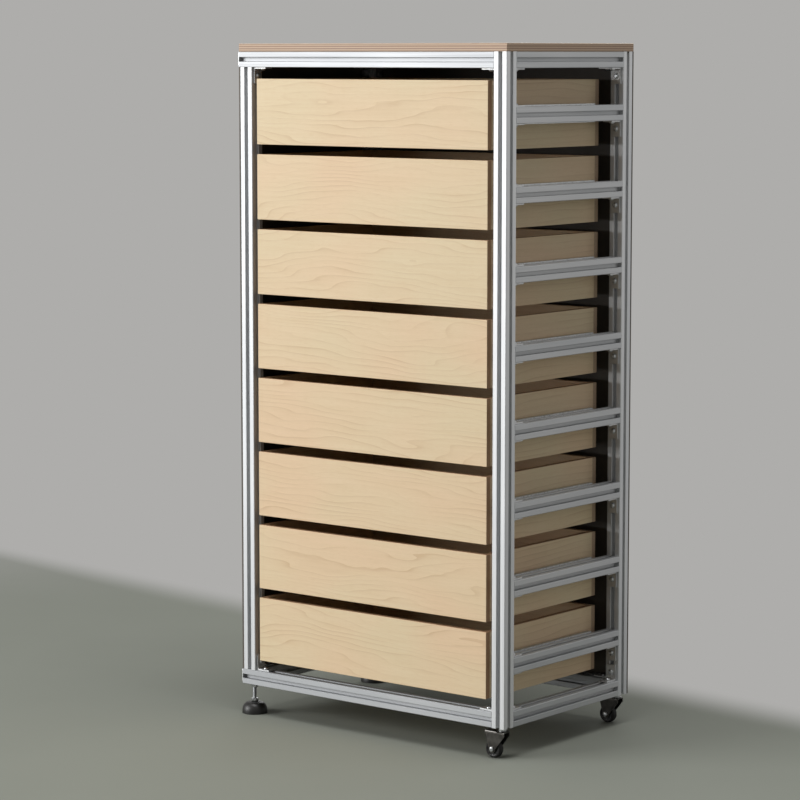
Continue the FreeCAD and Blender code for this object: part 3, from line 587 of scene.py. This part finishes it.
# The outer and the inner race of a slide: reach in from the frame's face, rise from the slide's middle,
# and start and end of the cage along the slide.
RACES = ((4.5, 15.2, 158.0, 296.0), (6.4, 11.8, 4.0, 142.0))
CAGE_WIDTH, CAGE_THICK = 4.6, 0.5
BALL, BALLS_IN_ROW, BALL_INSET = 1.05, 8, 8.0
# Where the screws sit along a slide, and how far in their heads' seats lie on the outer channel and on
# the inner one.
SCREWS_ALONG = (24.0, 150.0, 276.0)
OUTER_SEAT, INNER_SEAT = 1.2, 11.5
slide_y = low("slide_outer_members")[Y]
bright = steel("bearing_steel", "#B9BCBF", "#D0D2D4", 0.10, 0.18, 3.0)


def small_ball():
    """A ball as a turned half circle: radius r cos t, height r sin t."""
    rings, steps = 5, 8
    sweep = np.linspace(-math.pi / 2, math.pi / 2, rings)
    profile = np.stack([BALL * np.cos(sweep), BALL * np.sin(sweep)], axis=1)
    return turned(profile, steps), ring_quads(rings, steps)


def flat_head():
    """Low slide screw: a shallow dome with a round recess."""
    profile = [(0, 0), (3.4, 0), (3.0, 0.5), (1.3, 0.7), (1.1, 0.4), (0, 0.4)]
    return turned(profile, SCREW_STEPS), ring_quads(len(profile), SCREW_STEPS)


def across(x, inward, reach):
    """X of a place that many millimetres in from the frame's face at x."""
    return x + inward * reach * MM


frame_screws = []
for n, middle in zip(DRAWERS, MIDDLES):
    cages, balls, heads = [], [], []
    for x, inward in zip(BAY, (1, -1)):
        for reach, rise, start, end in RACES:
            for side in (-1, 1):
                z = middle + side * rise * MM
                spans = [across(x, inward, reach + edge * CAGE_WIDTH / 2) for edge in (-1, 1)]
                cages.append(((min(spans), slide_y + start * MM, z - CAGE_THICK / 2 * MM),
                              (max(spans), slide_y + end * MM, z + CAGE_THICK / 2 * MM)))
                for y in np.linspace(start + BALL_INSET, end - BALL_INSET, BALLS_IN_ROW):
                    seat = (across(x, inward, reach), slide_y + y * MM, z)
                    balls.append((seat, (1, 0, 0), (0, 0, 1)))
        for y in SCREWS_ALONG:
            outer = (across(x, inward, OUTER_SEAT), slide_y + y * MM, middle)
            inner = (across(x, inward, INNER_SEAT), slide_y + y * MM, middle)
            frame_screws.append((outer, (0, 0, 1), (inward, 0, 0)))
            heads.append((inner, (0, 0, 1), (-inward, 0, 0)))
    shapes = [block(*cage) for cage in cages]
    points = np.stack([corners for corners, quads in shapes])
    faces = np.concatenate([quads + index * len(corners)
                            for index, (corners, quads) in enumerate(shapes)])
    carrier = f"drawer_{n}_middle"
    piece(f"drawer_{n}_ball_cages", points, faces, zinc, carrier, "zinc_plated_steel")
    piece(f"drawer_{n}_balls", *carried(*small_ball(), balls), bright, carrier, "zinc_plated_steel")
    piece(f"drawer_{n}_slide_screws", *carried(*flat_head(), heads), zinc, f"drawer_{n}",
          "zinc_plated_steel")
piece("frame_slide_screws", *carried(*flat_head(), frame_screws), zinc, "root", "zinc_plated_steel")

# ---- Casters ----

# The fork is zinc-plated steel. Its base colour is painted dark, a painted reflection of the shaded
# floor around it.
pressed = steel("zinc_steel_painted_dark", "#4E4C4A", "#5F5D5A", 0.28, 0.36, 14.0)
tyre = rubber()
moulded = nylon()

# Fork: radius of the boss at the axle, trail of the axle behind the stem, half the width over the
# plates, their thickness and the radius of their outer bend.
BOSS, TRAIL = 7.0, 18.0
FORK_HALF, FORK_PLATE, FORK_BEND = 9.3, 2.0, 3.0
# X of its front and rear edges at the crown, and how deep each runs straight down.
LEAD, TAIL = 10.0, -34.0
LEAD_STRAIGHT, TAIL_STRAIGHT = 9, 2
FORK_ROWS, BEND_ROWS = 22, 5


def fork_edges(depth, drop):
    """X of a fork plate's two edges at a depth: straight tapers, then a round boss at the axle."""
    lead = np.interp(depth, [0, LEAD_STRAIGHT, drop], [LEAD, LEAD, BOSS - TRAIL])
    tail = np.interp(depth, [0, TAIL_STRAIGHT, drop], [TAIL, TAIL, -BOSS - TRAIL])
    round_half = np.sqrt(np.clip(BOSS ** 2 - (depth - drop) ** 2, 0, None))
    near = depth > drop - BOSS
    lead = np.where(near, np.maximum(lead, round_half - TRAIL), lead)
    tail = np.where(near, np.minimum(tail, -round_half - TRAIL), tail)
    below = depth > drop
    return np.where(below, -round_half - TRAIL, tail), np.where(below, round_half - TRAIL, lead)


def folded(half_width, bend, drop):
    """Section of the fork across Y: up one plate, round a bend, over the crown, down the other plate.

    The rows crowd towards the boss, by a power of the way up.
    """
    lowest = drop + BOSS
    depths = lowest - (lowest - FORK_BEND) * np.linspace(0, 1, FORK_ROWS) ** 1.6
    turn = np.linspace(0, math.pi / 2, BEND_ROWS)[1:]
    plate, curve = np.full(FORK_ROWS, half_width), half_width - bend + bend * np.cos(turn)
    y = np.concatenate([plate, curve, [0.0]])
    depth = np.concatenate([depths, FORK_BEND - bend * np.sin(turn), [FORK_BEND - bend]])
    return np.concatenate([y, -y[-2::-1]]), np.concatenate([depth, depth[-2::-1]])


def fork_sheet(stem, drop):
    """The pressed fork as a sheet: an outer and an inner folded surface, joined along their edges."""
    shells = []
    for inset in (0.0, FORK_PLATE):
        y, depth = folded(FORK_HALF - inset, FORK_BEND - inset, drop)
        edges = np.stack(fork_edges(depth, drop), axis=1)
        shells.append(np.stack([edges, np.stack([y, y], 1), np.stack([-depth, -depth], 1)], -1))
    outer, inner = shells
    loop = np.stack([outer[:, 0], outer[:, 1], inner[:, 1], inner[:, 0]], axis=1)
    quads = ring_quads(len(loop), 4).tolist()
    count = len(loop) * 4
    quads += [[0, 1, 2, 3], [count - 1, count - 2, count - 3, count - 4]]
    return loop * MM + stem, quads


# Profiles of radius and height. The race under the crown is a ring, the axle and the wheel have two
# halves in mirror image.
CROWN = [(4.2, -2.15), (12.2, -2.15), (13.0, -1.4), (13.0, -0.9), (12.0, -0.2), (10.6, 0.15),
         (4.2, 0.15)]
AXLE_HEAD, AXLE_FLATS = 5.0, 8.6
AXLE = mirrored([(0, -11.8), (3.7, -11.8), (AXLE_HEAD, -11.2), (AXLE_HEAD, -9.3), (3.0, -9.3)])
TYRE = mirrored([(12.5, 6.1), (14.0, 6.4), (15.4, 6.1), (16.4, 5.2), (16.9, 3.8), (17.0, 2.0)])
CORE = mirrored([(3.1, 7.0), (6.4, 7.0), (7.0, 6.5), (7.4, 4.9), (11.2, 4.7), (11.8, 6.0), (12.5, 6.3)])
# The rings of the core's profile that lie in its two dishes.
DISH = [3, 4, 9, 10]
RIBS, RIB_RISE = 6, 1.1
CROWN_STEPS, BOLT_STEPS, WHEEL_STEPS = 48, 36, 72


def hex_headed(radii, heights, angles):
    """The axle's heads are hexagons, the rest of it is round."""
    return np.where(radii == AXLE_HEAD, hexagon(angles, AXLE_FLATS), radii)


def wheel_core(hub):
    """The core, with ribs across its dishes, which rise where the cosine of six turns is high."""
    points = turned(CORE, WHEEL_STEPS, hub, Y)
    turns = np.arange(WHEEL_STEPS) * 2 * math.pi / WHEEL_STEPS
    ribs = np.clip(np.cos(RIBS * turns) * 3 - 1.4, 0, 1)
    points[DISH, :, Y] += np.sign(points[DISH, :, Y] - hub[Y]) * ribs * RIB_RISE * MM
    return points


for side in SIDES:
    hub = (low(f"{side}_caster_axle") + high(f"{side}_caster_axle")) / 2
    crown_top = high(f"{side}_caster_fork")[Z]
    drop = (crown_top - hub[Z]) / MM
    stem = (AXES_X[1], hub[Y], crown_top)
    piece(f"{side}_fork_plates", *fork_sheet(stem, drop),
          pressed, f"{side}_caster", "zinc_plated_steel", [f"{side}_caster_fork"])
    piece(f"{side}_fork_crown", turned(CROWN, CROWN_STEPS, stem),
          ring_quads(len(CROWN), CROWN_STEPS, closed=True), pressed, f"{side}_caster",
          "zinc_plated_steel")
    piece(f"{side}_axle_bolt", turned(AXLE, BOLT_STEPS, hub, Y, hex_headed),
          ring_quads(len(AXLE), BOLT_STEPS), zinc, f"{side}_caster", "zinc_plated_steel",
          [f"{side}_caster_axle"])
    piece(f"{side}_wheel_tyre", turned(TYRE, WHEEL_STEPS, hub, Y),
          ring_quads(len(TYRE), WHEEL_STEPS, closed=True), tyre, f"{side}_wheel", "black_rubber",
          [f"{side}_caster_wheel"])
    piece(f"{side}_wheel_core", wheel_core(hub), ring_quads(len(CORE), WHEEL_STEPS, closed=True),
          moulded, f"{side}_wheel", "black_plastic")

# ---- Levelling feet ----

# Pitch, radius and depth of the thread, and the stud's hexagon: corner radius and width over its flats.
PITCH, THREAD, THREAD_DEPTH = 1.25, 4.0, 0.65
CORNERS, FLATS = 7.5, 13.0
# The pad's edge, its bell as a quarter ellipse (middle and half axes), and the mouth of its socket.
PAD_EDGE = [(0, 0), (24.2, 0), (25.0, 0.8)]
BELL_MIDDLE, BELL_REACH = (12.0, 5.0), (13.0, 17.0)
SOCKET = 4.1
MOUTH = [(11.4, 22.8), (10.8, 23.0), (SOCKET, 23.0)]
# The socket's floor stays this far under the stud, so that the two never lie in one plane.
CLEARANCE = 0.1
COLLAR = [(6.4, 23.3), (CORNERS, 23.9), (CORNERS, 28.7), (6.4, 29.3), (3.4, 29.3)]


def foot_bell(start):
    """Profile of the pad: the bell's radius follows a cosine while its height follows the sine."""
    sweep = np.linspace(0, math.pi / 2, 9)
    bell = [(BELL_MIDDLE[0] + BELL_REACH[0] * math.cos(t), BELL_MIDDLE[1] + BELL_REACH[1] * math.sin(t))
            for t in sweep]
    floor = start - CLEARANCE
    return PAD_EDGE + bell + MOUTH + [(SOCKET, floor), (0, floor)]


def threaded_stud(start, end):
    """Profile of the stud: rings a sixth of the pitch apart along the thread, and the hexagon collar."""
    lower = [(THREAD, z) for z in np.arange(start + 0.4, 23.3, PITCH / 6)]
    upper = [(THREAD, z) for z in np.arange(29.5, end - 0.8, PITCH / 6)]
    return [(0, start), (3.4, start), *lower, (3.4, 23.3), *COLLAR, *upper, (3.2, end), (0, end)]


def threaded(radii, heights, angles):
    """M8 thread: the radius falls by a triangle wave of the height over the pitch less the turn.

    Only the thread's radius is cut. The collar's becomes a hexagon, chamfered at its corners.
    """
    phase = (heights / PITCH - angles / (2 * math.pi)) % 1.0
    cut = THREAD_DEPTH * (1 - np.abs(2 * phase - 1))
    nut = np.minimum(hexagon(angles, FLATS), CORNERS)
    return np.where(radii == THREAD, THREAD - cut, np.where(radii == CORNERS, nut, radii))


for side in SIDES:
    stud_low, stud_high = low(f"{side}_foot_stud"), high(f"{side}_foot_stud")
    centre = (stud_low + stud_high) / 2
    foot = (centre[X], centre[Y], 0.0)
    start, end = stud_low[Z] / MM, stud_high[Z] / MM
    pad, stud = foot_bell(start), threaded_stud(start, end)
    piece(f"{side}_foot_bell", turned(pad, WHEEL_STEPS, foot), ring_quads(len(pad), WHEEL_STEPS),
          moulded, f"{side}_foot", "black_plastic", [f"{side}_foot_pad"])
    piece(f"{side}_foot_thread", turned(stud, BOLT_STEPS, foot, radius=threaded),
          ring_quads(len(stud), BOLT_STEPS), zinc, f"{side}_foot_screw", "zinc_plated_steel",
          [f"{side}_foot_stud"])

# ---- Floor, light and camera ----

BACKDROP = "#AEADAB"
FLOOR_REACH = 40.0
# Metres over which the floor fades out: away from the origin all round, and behind the object along a
# direction that is 7 degrees off its back.
FADE_OUT, FADE_BEHIND = (1.3, 3.6), (0.40, 0.60)
BEHIND = (0.126, 1.0, 0.0)


def seen_rays(tree):
    """1 for the rays that show the background itself: camera, mirrored and transmitted ones."""
    path = add(tree, "LightPath").node.outputs
    seen = add(tree, "Math", {0: path["Is Camera Ray"], 1: path["Is Glossy Ray"]}, operation="MAXIMUM")
    return add(tree, "Math", {0: seen, 1: path["Is Transmission Ray"]}, operation="MAXIMUM")


def studio_floor(dark, light):
    """A plain matt floor. Seen directly it fades into the backdrop, far out and behind the object."""
    material, tree, shader, where = finish("floor", {"Specular IOR Level": 0.1, "Roughness": 0.9})
    tone = mottle(tree, where, (300.0, 300.0, 300.0))
    base = add(tree, "Mix", {0: tone, 6: dark, 7: light}, out=2, data_type="RGBA")
    tree.links.new(base, shader["Base Color"])
    fades = []
    for operation, inputs, (near, far) in (("LENGTH", {0: where}, FADE_OUT),
                                           ("DOT_PRODUCT", {0: where, 1: BEHIND}, FADE_BEHIND)):
        distance = add(tree, "VectorMath", inputs, out="Value", operation=operation)
        fades.append(add(tree, "MapRange", {0: distance, 1: near, 2: far},
                         interpolation_type="SMOOTHSTEP"))
    away = add(tree, "Math", {0: fades[0], 1: fades[1]}, operation="MAXIMUM")
    away = add(tree, "Math", {0: away, 1: seen_rays(tree)}, operation="MULTIPLY")
    glow = add(tree, "Emission", {"Color": BACKDROP, "Strength": 1.0})
    shown = add(tree, "MixShader", {0: away, 1: shader["Base Color"].node.outputs[0], 2: glow})
    tree.links.new(shown, tree.get_output_node("CYCLES").inputs["Surface"])
    mesh = bpy.data.meshes.new("floor")
    corners = [(x * FLOOR_REACH, y * FLOOR_REACH, 0) for x, y in ((-1, -1), (1, -1), (1, 1), (-1, 1))]
    mesh.from_pydata(corners, [], [(0, 1, 2, 3)])
    mesh.materials.append(material)
    made = bpy.data.objects.new("floor", mesh)
    bpy.context.scene.collection.objects.link(made)


studio_floor("#84877E", "#888B82")

AMBIENT = 0.14
world = bpy.data.worlds.new("studio")
bpy.context.scene.world = world
world.use_nodes = True
tree = world.node_tree
tree.nodes.clear()
ambient = add(tree, "Background", {"Color": "#FFFFFF", "Strength": AMBIENT})
backdrop = add(tree, "Background", {"Color": BACKDROP, "Strength": 1.0})
shown = add(tree, "MixShader", {0: seen_rays(tree), 1: ambient, 2: backdrop})
add(tree, "OutputWorld", {"Surface": shown})


def softbox(name, position, target, size, power):
    """A rectangular area lamp aimed at a point, of so many watts."""
    data = bpy.data.lights.new(name, "AREA")
    data.shape = "RECTANGLE"
    data.size, data.size_y = size
    data.energy = power
    made = bpy.data.objects.new(name, data)
    made.location = position
    aim = np.array(target, float) - np.array(position, float)
    flat = math.hypot(aim[X], aim[Y])
    made.rotation_euler = (math.pi / 2 + math.atan2(aim[Z], flat), 0.0, math.atan2(-aim[X], aim[Y]))
    bpy.context.scene.collection.objects.link(made)


softbox("key", (-4.3, -5.5, 2.3), (0.0, -0.2, 0.65), (4.4, 3.8), 425.0)
softbox("top", (0.5, -0.6, 4.6), (0.4, -0.5, 0.0), (3.0, 2.4), 135.0)
softbox("side", (5.0, 4.0, 2.2), (0.3, 0.0, 0.65), (3.2, 3.2), 33.0)
softbox("rear", (-3.4, 5.2, 3.2), (0.0, 0.2, 0.65), (3.2, 3.2), 60.0)

# The camera fitted to the photograph: focal length and picture width in pixels, place, and the degrees
# by which it looks down and to the left of straight back.
FOCAL, PICTURE, SENSOR = 2909.0, 800.0, 36.0
EYE = (3.4752, -4.4228, 1.2996)
LOOKS_DOWN, LOOKS_LEFT = 6.786, 38.798

data = bpy.data.cameras.new("camera")
data.sensor_width = SENSOR
data.lens = FOCAL * SENSOR / PICTURE
data.clip_end = 60.0
camera = bpy.data.objects.new("camera", data)
camera.location = EYE
camera.rotation_euler = (math.radians(90 - LOOKS_DOWN), 0.0, math.radians(LOOKS_LEFT))
bpy.context.scene.collection.objects.link(camera)
bpy.context.scene.camera = camera
bpy.context.scene.view_settings.view_transform = "Standard"
